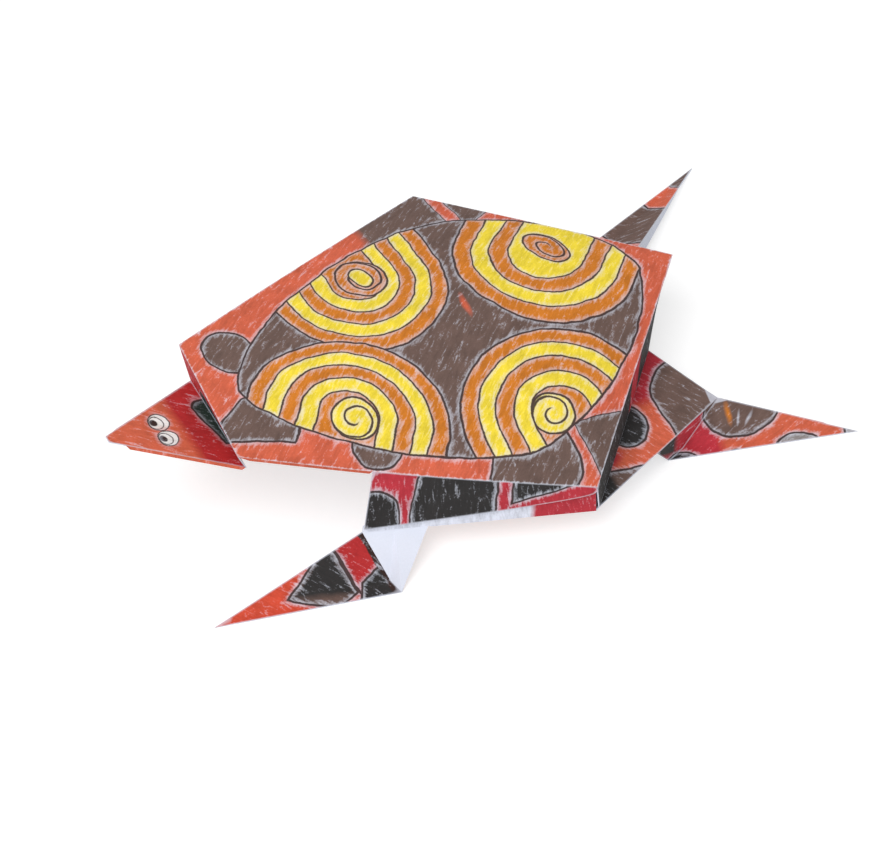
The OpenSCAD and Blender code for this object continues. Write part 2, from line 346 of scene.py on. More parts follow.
def triangle(a, b, c, axes, front, back, turned):
    """A flat triangle as a grid that starts in one corner: row share s and column share t give
    a + s (b + t (c - b) - a)."""
    s, t = np.meshgrid(*[shares(EDGE_STEPS)] * 2, indexing="ij")
    points = a + s[..., None] * (b + t[..., None] * (c - b) - a)
    return patch(points, flat_place(points, axes), front, back, turned)


def spine(s):
    """Shell, neck and head: rows along the ridge, columns across."""
    over_belly, over_root, _ = wall_shares(s)
    dist = np.concatenate([
        np.linspace(0, s["corner_at"], REAR_STEPS + 1)[:-1],
        mix(s["corner_at"], WALL_TOP_AT, np.concatenate([over_belly, over_root])),
        np.linspace(WALL_TOP_AT, s["shell"], HEM_STEPS + 1)[1:]])[:, None]
    across = np.linspace(-1, 1, 2 * ACROSS_STEPS + 1)[None, :]
    shell = shell_point(s, dist, across)
    share = head_shares(np.linspace(HEAD_HEM_SHARE, 1, 4)[1:])[:, None]
    head = head_point(s, share, across)
    half = mix(s["head_half"], NOSE_HALF, share)
    on_head = pair(s["head"] * share, across * half)
    down = shares(NECK_ROWS)[:, None, None]
    neck = mix(shell[-1][None], head[0][None], down)
    on_neck = on_head[:1] - (1 - down) * np.array([s["neck_drop"], 0])
    on_shell = pair(dist, across * half_width(s, dist))
    return [patch(shell, on_shell, "shell", "reverse", True),
            # The neck takes the head's print, whose dark red base there is painted shade under the shell's
            # front edge
            patch(neck, on_neck, "head", "reverse", True),
            patch(head, on_head, "head", "reverse", True)]


def head_shares(past=()):
    """Shares along the head's hemmed edge, and those past it."""
    return np.concatenate([np.linspace(0, HEAD_HEM_SHARE, HEAD_STEPS + 1), past])


def hems(s, side):
    """Hems under the shell's front and under the head: each turns under at the edge and runs in."""
    first, last = WALL_TOP_AT + s["layer"], s["shell"] - NECK_SETBACK - s["layer"]
    edge_at = np.linspace(WALL_TOP_AT, s["shell"], HEM_STEPS + 1)
    under_at = np.linspace(first, last, HEM_STEPS + 1)
    low = np.array([0, 0, -s["layer"]])
    inner = side * (1 - HEM_SHARE) / 2
    shell = np.stack([shell_point(s, edge_at, side), shell_point(s, under_at, side) + low,
                      shell_point(s, under_at, inner) + low], 1)
    share = head_shares()
    under = mix(s["layer"], s["head"] - 2 * s["layer"], share) / s["head"]
    low = head_axes(s)[3] * s["layer"]
    head = np.stack([head_point(s, share, side), head_point(s, under, side) + low,
                     head_point(s, under, side * (1 - HEM_SHARE)) + low], 1)
    return [patch(p, p[..., :2], "hem", "reverse", side == FAR) for p in (shell, head)]


def side_wall(s, side):
    """Side wall: straight lines from the shell's edge to the belly, with a step in under the cuff,
    whose height falls by a square root to the front. Rows run along it, columns down it."""
    over_belly, over_root, run = wall_shares(s)
    f = np.concatenate([over_belly, over_root])
    top = shell_point(s, mix(s["corner_at"], WALL_TOP_AT, f), side)
    foot = mix(side_foot(s, side), wall_foot(s, side), f[:, None])
    step = np.array([0, side * CUFF_STEP, 0])
    rise = mix(CUFF_REAR_H, CUFF_FRONT_H, np.sqrt(f)) / (top[:, 2] - s["belly_h"])
    cuff = mix(foot + step, top, rise[:, None])
    down = shares(WALL_ROWS)
    upper = mix(top[:, None], cuff[:, None], down[None, :, None])
    strip = mix((cuff - step)[:, None], foot[:, None], down[None, :, None])
    lower = np.concatenate([cuff[:, None], strip], 1)
    along = run * f[:, None]
    upper_place = pair(along, upper[..., 2] - s["belly_h"])
    lower_place = pair(along, lower[..., 2] - s["belly_h"])
    return [patch(upper, upper_place, "wall", "reverse", side == FAR),
            patch(lower, lower_place, "cuff", "reverse", side == FAR)]


def rear_wall(s, side):
    """Rear wall: it hangs from the shell's rear edge and ends just above the flap."""
    dist = np.linspace(0, s["corner_at"], REAR_STEPS + 1)
    top = shell_point(s, dist, side)
    corner = side_foot(s, side) + [s["layer"], 0, s["layer"]]
    notch = at(NOTCH_AT, side * SEAM_HALF, s["belly_h"] + s["layer"])
    bend = at(REAR_FOOT[0], side * REAR_FOOT[1], s["belly_h"] + s["layer"])
    f = shares(REAR_STEPS)[:, None]
    past_bend = (f - REAR_BEND_SHARE) / (1 - REAR_BEND_SHARE)
    foot = np.where(f < REAR_BEND_SHARE, mix(notch, bend, f / REAR_BEND_SHARE), mix(bend, corner, past_bend))
    down = shares(WALL_ROWS)[None, :, None]
    points = mix(top[:, None], foot[:, None], down)
    along = np.hypot(dist, half_width(s, dist))[:, None]
    places = pair(along, points[..., 2] - s["belly_h"])
    return [patch(points, places, "rear", "reverse", side == FAR)]


def belly(s, side):
    """Half of the belly, folded in from the foot of the side wall."""
    over_belly, _, _ = wall_shares(s)
    outer = mix(side_foot(s, side), wall_foot(s, side), over_belly[:, None])
    notch = at(NOTCH_AT, side * SEAM_HALF, s["belly_h"])
    front = at(mix(s["corner_at"], WALL_FOOT_AT, over_belly[-1]), side * SEAM_HALF, s["belly_h"])
    inner = mix(notch, front, shares(WALL_STEPS)[:, None])
    points = mix(outer[:, None], inner[:, None], shares(EDGE_STEPS)[None, :, None])
    return [patch(points, points[..., :2], "hem", "reverse", side == FAR)]


def rear_leg(s, side, out):
    """The rear flap, the pleat under its edge and the leg, whose raised inner edge turns down."""
    flat = s["paper"] * SOLE_LIFT
    foot = side_foot(s, side)
    notch = at(NOTCH_AT, side * SEAM_HALF, s["belly_h"])
    corner = at(FLAP_CORNER[side][0], side * FLAP_CORNER[side][1], s["belly_h"])
    way = unit(corner - foot)
    root = corner - way * REAR_ROOT
    end = corner - way * (REAR_ROOT + PLEAT)
    ankle = mix(root, corner, SOLE_SHARE)
    heel = np.array([root[0], root[1], flat])
    ankle[2] = flat
    toe = heel + s["rear_leg"] * np.array([math.cos(out), side * math.sin(out), 0])
    knee = mix(corner, toe, KNEE_SHARE)
    inner = corner + [0, -side * s["layer"], -TURN_DOWN_SHARE * s["belly_h"]]
    on_flap = (np.zeros(3), np.array([-1.0, 0, 0]), np.array([0, -float(side), 0]))
    on_leg = frame_of(heel, toe, corner)
    leg = "near_leg" if side == NEAR else "far_leg"
    back, turned = "reverse", side == FAR
    rows = [(foot, notch, end, on_flap, back, "flap"), (notch, corner, end, on_flap, back, "flap"),
            (corner, heel, end, on_leg, back, leg), (corner, ankle, heel, on_leg, back, leg),
            (heel, ankle, toe, on_leg, back, leg), (ankle, corner, knee, on_leg, back, leg),
            (ankle, knee, toe, on_leg, back, leg), (knee, corner, inner, on_leg, "hem", back)]
    return [triangle(*row, turned) for row in rows]


def front_leg(s, side, reach, out):
    """A front leg: a bare triangle beside the wall's foot, then the leg, whose outer edge lies flat."""
    flat = s["paper"] * SOLE_LIFT
    inner = wall_foot(s, side)
    outer = mix(side_foot(s, side), inner, wall_shares(s)[1][0])
    middle = mix(outer, inner, 0.5)
    turn = out + FRONT_HEEL_TURN
    toe = inner + reach * np.array([-math.cos(out), side * math.sin(out), 0])
    heel = inner + FRONT_HEEL * np.array([-math.cos(turn), side * math.sin(turn), 0])
    ankle = mix(heel, inner, SOLE_SHARE)
    toe[2] = heel[2] = ankle[2] = flat
    on_leg = frame_of(inner, toe, 2 * inner - heel)
    bare, turned = ("reverse", "hem"), side == FAR
    rows = [(outer, middle, heel, on_leg, *bare), (middle, inner, ankle, on_leg, *bare),
            (middle, ankle, heel, on_leg, *bare),
            (ankle, toe, heel, on_leg, "front_leg", "reverse"),
            (inner, toe, ankle, on_leg, "front_leg", "reverse")]
    return [triangle(*row, turned) for row in rows]


def sheet_patches(s):
    """Every panel of the sheet."""
    patches = spine(s)
    for side, reach, front_out, rear_out in (
            (NEAR, s["near_front"], s["near_front_out"], s["near_rear_out"]),
            (FAR, s["far_front"], s["far_front_out"], s["far_rear_out"])):
        patches += hems(s, side) + side_wall(s, side) + rear_wall(s, side) + belly(s, side)
        patches += rear_leg(s, side, rear_out) + front_leg(s, side, reach, front_out)
    return patches


def weld(patches, papers):
    """The panels as one mesh. Each grid square is two triangles, equal points are one point, and
    triangles with no area are left out. Returns points, triangles, places and papers by side."""
    points, corners, places, front, back = [], [], [], [], []
    count = 0
    for p in patches:
        rows, columns = p["points"].shape[:2]
        n = np.arange(rows * columns).reshape(rows, columns) + count
        a, b, c, d = n[:-1, :-1].ravel(), n[1:, :-1].ravel(), n[1:, 1:].ravel(), n[:-1, 1:].ravel()
        made = np.concatenate([np.stack([a, b, c], 1), np.stack([a, c, d], 1)])
        corners.append(made[:, ::-1] if p["turned"] else made)
        points.append(p["points"].reshape(-1, 3))
        places.append(p["places"].reshape(-1, 2))
        front.append(np.full(len(made), papers.index(p["front"])))
        back.append(np.full(len(made), papers.index(p["back"])))
        count += rows * columns
    points, corners = np.concatenate(points), np.concatenate(corners)
    grain = np.round(points * WELDS_PER_MM + WELD_SHIFT).astype(np.int64)
    _, firsts, merged = np.unique(grain, axis=0, return_index=True, return_inverse=True)
    tris = merged.reshape(-1)[corners]
    real = np.linalg.norm(normals_of(points[firsts], tris), axis=1) > 0.5
    return (points[firsts], tris[real], np.concatenate(places)[corners[real]],
            np.concatenate(front)[real], np.concatenate(back)[real])


def normals_of(points, tris):
    """Unit normals of triangles, or nothing where they have no area."""
    across = np.cross(points[tris[:, 1]] - points[tris[:, 0]], points[tris[:, 2]] - points[tris[:, 0]])
    size = np.linalg.norm(across, axis=1, keepdims=True)
    return np.where(size > 1e-7, across / np.maximum(size, 1e-12), 0)


def edges_of(points, tris):
    """Directed edges of the triangles, and which of them are free and which are folds. A free edge
    has one triangle; at a fold the normals of its two triangles differ by more than FOLD_ANGLE."""
    edges = np.concatenate([tris[:, [0, 1]], tris[:, [1, 2]], tris[:, [2, 0]]])
    face = np.tile(np.arange(len(tris)), 3)
    key = edges[:, 0] * len(points) + edges[:, 1]
    back_key = edges[:, 1] * len(points) + edges[:, 0]
    order = np.argsort(key)
    found = np.minimum(np.searchsorted(key[order], back_key), len(key) - 1)
    free = key[order][found] != back_key
    normal = normals_of(points, tris)
    alike = (normal[face] * normal[face[order[found]]]).sum(1)
    return edges, free, ~free & (alike < math.cos(FOLD_ANGLE))


def edge_distance(points, starts, ends):
    """Distance of each point from the nearest of the segments, in mm."""
    way = ends - starts
    square = np.maximum((way * way).sum(1), 1e-12)
    nearest = np.empty(len(points))
    for i in range(0, len(points), CHUNK):
        off = points[i:i + CHUNK, None] - starts
        f = np.clip((off * way).sum(2) / square, 0, 1)
        nearest[i:i + CHUNK] = np.sqrt(((off - f[..., None] * way) ** 2).sum(2).min(1))
    return nearest


def mitres(points, tris):
    """Way from the middle surface to the paper's face, in half thicknesses: the least-squares point
    that lies on the moved plane of every triangle round the point."""
    n = normals_of(points, tris)
    count = len(points)
    matrix = np.zeros((count, 3, 3))
    total = np.zeros((count, 3))
    for k in range(3):
        np.add.at(matrix, tris[:, k], n[:, :, None] * n[:, None, :])
        np.add.at(total, tris[:, k], n)
    weight = np.bincount(tris.ravel(), minlength=count)[:, None, None]
    matrix += MITRE_EASE * weight * np.eye(3)
    way = np.linalg.solve(matrix, total[..., None])[..., 0]
    size = np.linalg.norm(way, axis=1, keepdims=True)
    return way * np.minimum(1, MITRE_MAX / np.maximum(size, 1e-9))


def wave(points, ways, inside):
    """Handling waves: a sum of three slow sine waves, up to a quarter of a millimetre high, that
    dies out towards the folds by a bell curve."""
    x, y = points[:, 0], points[:, 1]
    height = (np.sin(x * 0.21 + y * 0.13) + 0.7 * np.sin(x * -0.11 + y * 0.27 + 1.3)
              + 0.5 * np.sin(x * 0.4 - y * 0.09))
    share = 1 - np.exp(-(inside / WAVE_REACH) ** 2)
    return points + unit(ways) * (WAVE_HEIGHT * height * share)[:, None]


def thick_sheet(patches, papers, thickness):
    """The sheet with its thickness: both faces, and a rim along the free edges. No point lies
    below the table. Returns the mesh's points in metres, triangles, places by corner, papers by
    triangle and edge distances."""
    points, tris, places, front, back = weld(patches, papers)
    edges, free, fold = edges_of(points, tris)
    seen = edges[free | fold]
    inside = edge_distance(points, points[seen[:, 0]], points[seen[:, 1]])
    middle = (points.min(0) + points.max(0)) / 2
    points = wave(points, mitres(points, tris), inside) - [middle[0], middle[1], 0]
    way = mitres(points, tris) * thickness / 2
    count = len(points)
    both = np.concatenate([points + way, points - way])
    both[:, 2] = np.maximum(both[:, 2], 0)
    rim = edges[free]
    rim_places = np.concatenate([places[:, [0, 1]], places[:, [1, 2]], places[:, [2, 0]]])[free]
    a, b = rim[:, 0], rim[:, 1]
    faces = np.concatenate([tris, tris[:, ::-1] + count,
                            np.stack([b, a, a + count], 1), np.stack([b, a + count, b + count], 1)])
    at_a, at_b = rim_places[:, 0], rim_places[:, 1]
    corner_places = np.concatenate([places, places[:, ::-1], np.stack([at_b, at_a, at_a], 1),
                                    np.stack([at_b, at_a, at_b], 1)])
    paper = np.concatenate([front, back, np.full(2 * len(rim), papers.index("edge"))])
    return both * MM, faces, corner_places, paper, np.tile(inside, 2)


# The print: places and lengths are in mm on each panel's own axes, which its fold function gives

def add(tree, kind, sources, out=0, **settings):
    """Adds a node of a kind with its settings. Sources fill its inputs, by order or by name or
    number: a socket is linked and a value is set. Returns its output out."""
    node = tree.nodes.new("ShaderNode" + kind)
    for name, value in settings.items():
        setattr(node, name, value)
    for key, source in sources.items() if isinstance(sources, dict) else enumerate(sources):
        if isinstance(source, bpy.types.NodeSocket):
            tree.links.new(source, node.inputs[key])
        elif source is not None:
            node.inputs[key].default_value = source
    return node.outputs[out] if node.outputs else node


def empty_tree(owner):
    """The node tree of a material or a world, with nothing in it yet."""
    owner.use_nodes = True
    owner.node_tree.nodes.clear()
    return owner.node_tree


def curve_distance(tree, place, curve):
    """Distance in mm from a drawn curve, less than nothing inside it.
    oval: half lengths in x and y, turn in degrees and power, and the point that is length 1 away
    when each share to that power adds up to 1. arch: an oval ahead of its middle, two parallel
    lines behind it. half: the left of a line between two points."""
    kind, *n = curve
    if kind == "half":
        x, y, to_x, to_y = n
        size = math.hypot(to_x - x, to_y - y)
        square = ((to_y - y) / size, -(to_x - x) / size, 0)
        along = add(tree, "VectorMath", [place, square], out=1, operation="DOT_PRODUCT")
        return add(tree, "Math", [along, square[0] * x + square[1] * y], operation="SUBTRACT")
    x, y, half_x, half_y, turn, power = n
    local = add(tree, "Mapping", [place, (x, y, 0), (0, 0, math.radians(turn)), (half_x, half_y, 1)],
                vector_type="TEXTURE")
    if kind == "arch":
        local = add(tree, "VectorMath", [local, AHEAD_ONLY], operation="MAXIMUM")
    if power == 2:
        share = add(tree, "VectorMath", [local], out=1, operation="LENGTH")
    else:
        raised = add(tree, "VectorMath", [local], operation="ABSOLUTE")
        raised = add(tree, "VectorMath", [raised, (power, power, 1)], operation="POWER")
        share = add(tree, "VectorMath", [raised, (1, 1, 0)], out=1, operation="DOT_PRODUCT")
        share = add(tree, "Math", [share, 1 / power], operation="POWER")
    mean = math.sqrt(half_x * half_y)
    return add(tree, "Math", [share, mean, -mean], operation="MULTIPLY_ADD")


def both_inside(tree, a, b):
    """Distance from the part that two curves share."""
    return b if a is None else add(tree, "Math", [a, b], operation="MAXIMUM")


def shell_oval(tree, place):
    """The shell's oval: shares of the half lengths, which differ ahead and behind, each to a power
    of 1.5, or 2 in its far rear quarter. The distance runs along the ray from its middle."""
    local = add(tree, "VectorMath", [place, (*OVAL_MIDDLE, 0)], operation="SUBTRACT")
    x, y = (add(tree, "SeparateXYZ", [local], out=i) for i in (0, 1))
    ahead = add(tree, "VectorMath", [local, (1 / OVAL_AHEAD, 1 / OVAL_HALF, 0)], operation="MULTIPLY")
    behind = add(tree, "VectorMath", [local, (-1 / OVAL_BEHIND, -1 / OVAL_HALF, 0)], operation="MULTIPLY")
    share = add(tree, "VectorMath", [ahead, behind], operation="MAXIMUM")
    rear = add(tree, "Math", [x, 0], operation="LESS_THAN")
    far = add(tree, "Math", [y, 0], operation="GREATER_THAN")
    quarter = add(tree, "Math", [rear, far], operation="MULTIPLY")
    power = add(tree, "Math", [quarter, 0.5, 1.5], operation="MULTIPLY_ADD")
    powers = add(tree, "CombineXYZ", [power, power, 1])
    raised = add(tree, "VectorMath", [share, powers], operation="POWER")
    total = add(tree, "VectorMath", [raised, (1, 1, 0)], out=1, operation="DOT_PRODUCT")
    root = add(tree, "Math", [1, power], operation="DIVIDE")
    rho = add(tree, "Math", [total, root], operation="POWER")
    ray = add(tree, "VectorMath", [local], out=1, operation="LENGTH")
    whole = add(tree, "Math", [ray, rho], operation="DIVIDE")
    return add(tree, "Math", [ray, whole], operation="SUBTRACT")


class Drawing:
    """A print while it is drawn: the colour so far, and the distance in mm from the nearest line."""

    def __init__(self, tree, inks, ground):
        self.tree = tree
        self.inks = inks
        uv = add(tree, "UVMap", [], uv_map=UV_MAP)
        # The hand that drew it: lines wander by a third of a millimetre over about 5 mm
        drift = add(tree, "TexNoise", {"Vector": uv, "Scale": 0.2, "Detail": 2.0}, out=1)
        drift = add(tree, "VectorMath", [drift, (0.5, 0.5, 0.5)], operation="SUBTRACT")
        self.uv = uv
        self.place = add(tree, "VectorMath", [drift, (1.3, 1.3, 0), uv], operation="MULTIPLY_ADD")
        self.colour = add(tree, "RGB", [])
        self.colour.default_value = (*inks[ground], 1)
        self.line = None

    def paint(self, colour, inside, soft=SHARP):
        """Paints where the distance is less than nothing. A sharp border covers the lines below."""
        tree = self.tree
        if self.line is not None and soft < SMEAR:
            under = add(tree, "Math", [0.0, inside], operation="SUBTRACT")
            self.line = add(tree, "Math", [self.line, under], operation="MAXIMUM")
        cover = add(tree, "MapRange", [inside, soft, -soft, 0.0, 1.0])
        self.colour = add(tree, "Mix", {0: cover, 6: self.colour, 7: (*self.inks[colour], 1)},
                          out=2, data_type="RGBA")

    def outline(self, distance, within=None, finer=0.0):
        """Adds a line where the distance is nothing, only inside another distance if one is given."""
        tree = self.tree
        away = add(tree, "Math", [distance], operation="ABSOLUTE")
        if finer:
            away = add(tree, "Math", [away, finer], operation="ADD")
        if within is not None:
            away = add(tree, "Math", [away, within], operation="MAXIMUM")
        self.line = away if self.line is None else add(tree, "Math", [self.line, away], operation="MINIMUM")

    def region(self, colour, kind, curves):
        """Paints a region that lies inside all its curves. kind says how its border is drawn: as a
        line, as a thin line, plain, or run out in a smear or a soft change."""
        inside = None
        for curve in curves:
            inside = both_inside(self.tree, inside, curve_distance(self.tree, self.place, curve))
        self.paint(colour, inside, {"soft": SOFT, "smear": SMEAR}.get(kind, SHARP))
        if kind == "line":
            self.outline(inside)
        elif kind == "thin":
            self.outline(inside, finer=0.12)


def band_lobe(drawing, oval, centre, turn, half_x, half_y, bands, first):
    """A lobe of nested bands: an arch whose share, from 1 at its border, is cut into bands of equal
    width. Bands are ochre and yellow in turn, and the lobe ends at the oval."""
    tree = drawing.tree
    turned, halves = (0, 0, math.radians(turn)), (half_x, half_y, 1)
    local = add(tree, "Mapping", [drawing.place, (*centre, 0), turned, halves], vector_type="TEXTURE")
    local = add(tree, "VectorMath", [local, AHEAD_ONLY], operation="MAXIMUM")
    share = add(tree, "VectorMath", [local], out=1, operation="LENGTH")
    size = math.sqrt(half_x * half_y)
    rim = add(tree, "Math", [share, size, -size], operation="MULTIPLY_ADD")
    inside = add(tree, "Math", [rim, oval], operation="MAXIMUM")
    drawing.paint("ochre", inside)
    step = (1 - first) / (bands - 1)
    depth = add(tree, "Math", [share, -1 / step, 1 / step], operation="MULTIPLY_ADD")
    depth = add(tree, "Math", [depth, bands - 0.5], operation="MINIMUM")
    nearest = add(tree, "Math", [depth, 0.5], operation="PINGPONG")
    whole = add(tree, "Math", [depth], operation="FLOOR")
    odd = add(tree, "Math", [whole, 1.0], operation="PINGPONG")
    yellow = add(tree, "Math", [0.5, odd], operation="SUBTRACT")
    yellow = add(tree, "Math", [yellow, inside], operation="MAXIMUM")
    drawing.paint("yellow", yellow, 0.05)
    away = add(tree, "Math", [nearest, step * size], operation="MULTIPLY")
    drawing.outline(away, within=inside, finer=0.05)
    drawing.outline(rim, within=oval)


def curl(drawing, centre, radius, squash, turn, colour, hand, within):
    """The curl in a lobe: a ring whose line winds on inwards as a spiral of even pitch, where the
    radius plus a share of the turn passes whole pitches."""
    tree = drawing.tree
    turned, halves = (0, 0, math.radians(turn)), (squash, 1 / squash, 1)
    local = add(tree, "Mapping", [drawing.place, (*centre, 0), turned, halves], vector_type="TEXTURE")
    ray = add(tree, "VectorMath", [local], out=1, operation="LENGTH")
    x, y = (add(tree, "SeparateXYZ", [local], out=i) for i in (0, 1))
    way = add(tree, "Math", [y, x], operation="ARCTAN2")
    ring = add(tree, "Math", [ray, radius], operation="SUBTRACT")
    ring = both_inside(tree, ring, within)
    drawing.paint(colour, ring)
    pitch = radius * CURL_PITCH
    wound = add(tree, "Math", [way, hand * pitch / math.tau, ray], operation="MULTIPLY_ADD")
    wound = add(tree, "Math", [wound, radius], operation="SUBTRACT")
    near = add(tree, "Math", [wound, pitch / 2], operation="PINGPONG")
    core = add(tree, "Math", [CURL_CORE * radius, ray], operation="SUBTRACT")
    drawing.outline(near, within=both_inside(tree, core, ring))
    drawing.outline(ring, within=within)


def draw_shell(drawing):
    """The shell: blotches on the coral border, then the brown oval with its four lobes and curls."""
    oval = shell_oval(drawing.tree, drawing.place)
    for colour, kind, *curves in (
            ("brown", "line", ("oval", 97.4, 10.0, 6.2, 4.9, 68, 2)),
            ("brown", "line", ("half", 105.9, -6.6, 99.0, -1.6), ("half", 92.0, -15.8, 105.9, -11.4),
             ("oval", 99.6, -9.4, 8.4, 6.9, 0, 2.6)),
            ("brown", "line", ("oval", 79.0, -21.2, 4.9, 4.9, 0, 2)),
            ("brown", "line", ("oval", 52.0, -34.5, 10.9, 8.6, 0, 2.6), ("half", 60.2, -34.4, 57.8, -30.7)),
            ("brown", "thin", ("half", 39.0, -60, 39.0, 0), ("half", 60, -29.4, 0, -29.9)),
            ("brown", "soft", ("half", 57.6, 0, 58.2, 60), ("half", 0, 18, 60, 18)),
            ("coral", "thin", ("half", 33.4, 28.0, 29.4, 30.6), ("half", 33.4, 10, 33.4, 40),
             ("half", 0, 15, 60, 15)),
            ("coral", "thin", ("half", 38.9, 26, 39.8, 60), ("half", 36.4, 60, 35.7, 26),
             ("half", 0, 28.3, 60, 28.3))):
        drawing.region(colour, kind, curves)
    drawing.paint("brown", oval)
    drawing.outline(oval)
    for centre, turn, half_x, half_y, first, spot, radius, squash, spot_turn, fill, hand in (
            ((65.3, 19.3), -90, 21.4, 18.8, 0.30, (64.0, 19.6), 5.6, 1.10, 80, "ochre", 1),
            ((81.3, -13.1), 126.9, 17.0, 20.2, 0.30, (80.6, -14.3), 4.6, 1.0, 0, "yellow", -1),
            ((40.3, -26.3), 90, 18.3, 21.0, 0.30, (42.1, -26.4), 4.5, 1.0, 0, "yellow", 1)):
        band_lobe(drawing, oval, centre, turn, half_x, half_y, 5, first)
        curl(drawing, spot, radius, squash, spot_turn, fill, hand, oval)
    band_lobe(drawing, oval, (24.9, 10.6), -45, 19.9, 19.9, 4, 0.41)
    curl(drawing, (23.6, 12.8), 4.7, 1.25, 75, "ochre", 1, oval)
    # The yellow core of the far front curl, and a crayon mark in the middle
    drawing.region("yellow", "line", [("oval", 63.9, 19.8, 3.4, 2.1, 80, 2)])
    drawing.region("coral", "smear", [("oval", 47.8, 2.9, 2.6, 0.6, 95, 2)])


def draw_head(drawing):
    """The head: red at the base to coral at the nose, a dark bar and two round eyes. On the neck under the
    shell's front edge, the red base is painted shade.
    """
    drawing.region("coral", "soft", [("half", 9.5, 20, 7.5, -20)])
    drawing.region("green", "line", [("oval", 0.0, 0.7, 4.3, 6.2, 0, 3.0), ("half", 1.2, -5.3, 3.9, 5.3)])
    for y in (2.45, -2.05):
        drawing.region("coral", "soft", [("oval", 12.8, y, 3.1, 2.8, 0, 2)])
        drawing.region("white", "thin", [("oval", 12.7, y, 2.3, 2.15, 0, 2)])
        drawing.region("white", "thin", [("oval", 13.3, y, 1.6, 1.6, 0, 2)])
        drawing.region("ink", "plain", [("oval", 13.9, y + 0.15, 0.85, 0.85, 0, 2)])


def draw_wall(drawing):
    """The side wall: upright black blocks on crimson, the first cut off by a crimson patch."""
    for colour, kind, *curves in (
            ("black", "line", ("half", 18.0, -9, 18.0, 30), ("half", 0.2, 9.9, 13.0, 6.0)),
            ("black", "line", ("half", 21.2, 30, 21.2, -9), ("oval", 24.0, 3.0, 14.6, 20.0, 0, 3.0)),
            ("black", "line", ("oval", 46.8, 1.0, 5.9, 9.6, 0, 2.4)),
            ("paper", "thin", ("oval", 42.0, 18.6, 1.5, 1.5, 0, 2))):
        drawing.region(colour, kind, curves)


def draw_cuff(drawing):
    """The strip below the cuff: the patch of crimson ends in a rough edge, and the rest is bare."""
    drawing.region("paper", "smear", [("half", 13.0, 30, 13.0, -9)])


def draw_rear(drawing):
    """The rear wall: black with a crimson stretch in the middle."""
    drawing.region("crimson", "smear", [("half", 26, 30, 25.5, 0), ("half", 32, 0, 32, 30)])


def draw_front_leg(drawing):
    """A front leg: a red block behind a line, a three-cornered blotch, a small one at the heel, and a dark
    band along the edge beside the bare triangle, which is printed outline and painted shadow.
    """
    drawing.region("red", "line", [("half", 6.9, -20, 6.9, 5)])
    drawing.region("brown", "line", [("half", 7.2, 5, 7.2, -20), ("half", 19.9, -3.4, 11.4, 0.4),
                                     ("half", 13.0, -9.6, 19.9, -3.4),
                                     ("oval", 11.0, -2.0, 10.0, 8.0, 0, 2.6)])
    drawing.region("black", "smear", [("half", 7.6, 5, 7.6, -20), ("half", 18.7, -3.6, 11.4, 0.0),
                                      ("half", 9.5, -8.8, 18.6, -3.8)])
    drawing.region("black", "line", [("half", 5.4, -8.8, -0.6, -7.3), ("half", 7.6, -11.3, 5.2, -8.6)])
    # Dark band along the edge beside the bare triangle: part printed outline, part painted shadow of the
    # bare layer over the leg
    drawing.region("ink", "plain", [("half", 1.2, -20, 1.2, 5)])


def draw_flap(drawing):
    """The rear flap: a tall brown blotch, a round black one and a dark corner on coral."""
    drawing.region("crimson", "soft", [("half", 0, -24, 40, -24)])
    drawing.region("crimson", "soft", [("oval", 33, -34.5, 3.2, 1.6, -20, 2)])
    drawing.region("brown", "line", [("arch", 8.2, -25.8, 9.2, 8.8, 90, 2.0)])
    drawing.region("black", "line", [("oval", 25.3, -27.8, 4.6, 5.5, 0, 2)])
    drawing.region("brown", "line", [("half", 35, -36.4, 27, -38.4)])
    drawing.region("black", "smear", [("half", 34, 0, 34, -50), ("half", 60, -37, 0, -37)])


def draw_near_leg(drawing):
    """The near rear leg: a half oval hanging from the top edge, and blotches on the table edge."""
    drawing.region("coral", "soft", [("half", 12, 20, 12, -20)])
    drawing.region("brown", "line", [("oval", 16.8, 10.2, 8.3, 7.4, 0, 2.3)])
    drawing.region("ochre", "smear", [("oval", 14.0, 7.8, 1.8, 0.5, 100, 2)])
    drawing.region("paper", "smear", [("oval", 16.2, 6.6, 0.5, 0.1, 80, 2)])
    drawing.region("paper", "smear", [("oval", 18.4, 6.3, 0.5, 0.1, 60, 2)])
    drawing.region("black", "line", [("oval", 2.6, -1.2, 4.0, 2.4, 0, 2)])
    drawing.region("grey", "line", [("oval", 14.5, -1.2, 2.0, 1.3, 0, 2)])
    drawing.region("grey", "line", [("oval", 28.0, -1.2, 4.6, 2.9, 0, 2)])
    drawing.region("grey", "line", [("half", 38.2, 9, 38.8, -9)])
    drawing.region("black", "smear", [("half", 1.4, -9, 1.4, 9), ("half", -9, 1.2, 9, 1.6)])


def draw_far_leg(drawing):
    """The far rear leg: bands of coral and brown in turn, from root to toe."""
    drawing.region("brown", "line", [("half", 11.4, 9, 11.2, -9)])
    drawing.region("coral", "line", [("half", 25.2, 9, 24.8, -9)])
    drawing.region("brown", "thin", [("half", 33.6, 9, 33.4, -9)])


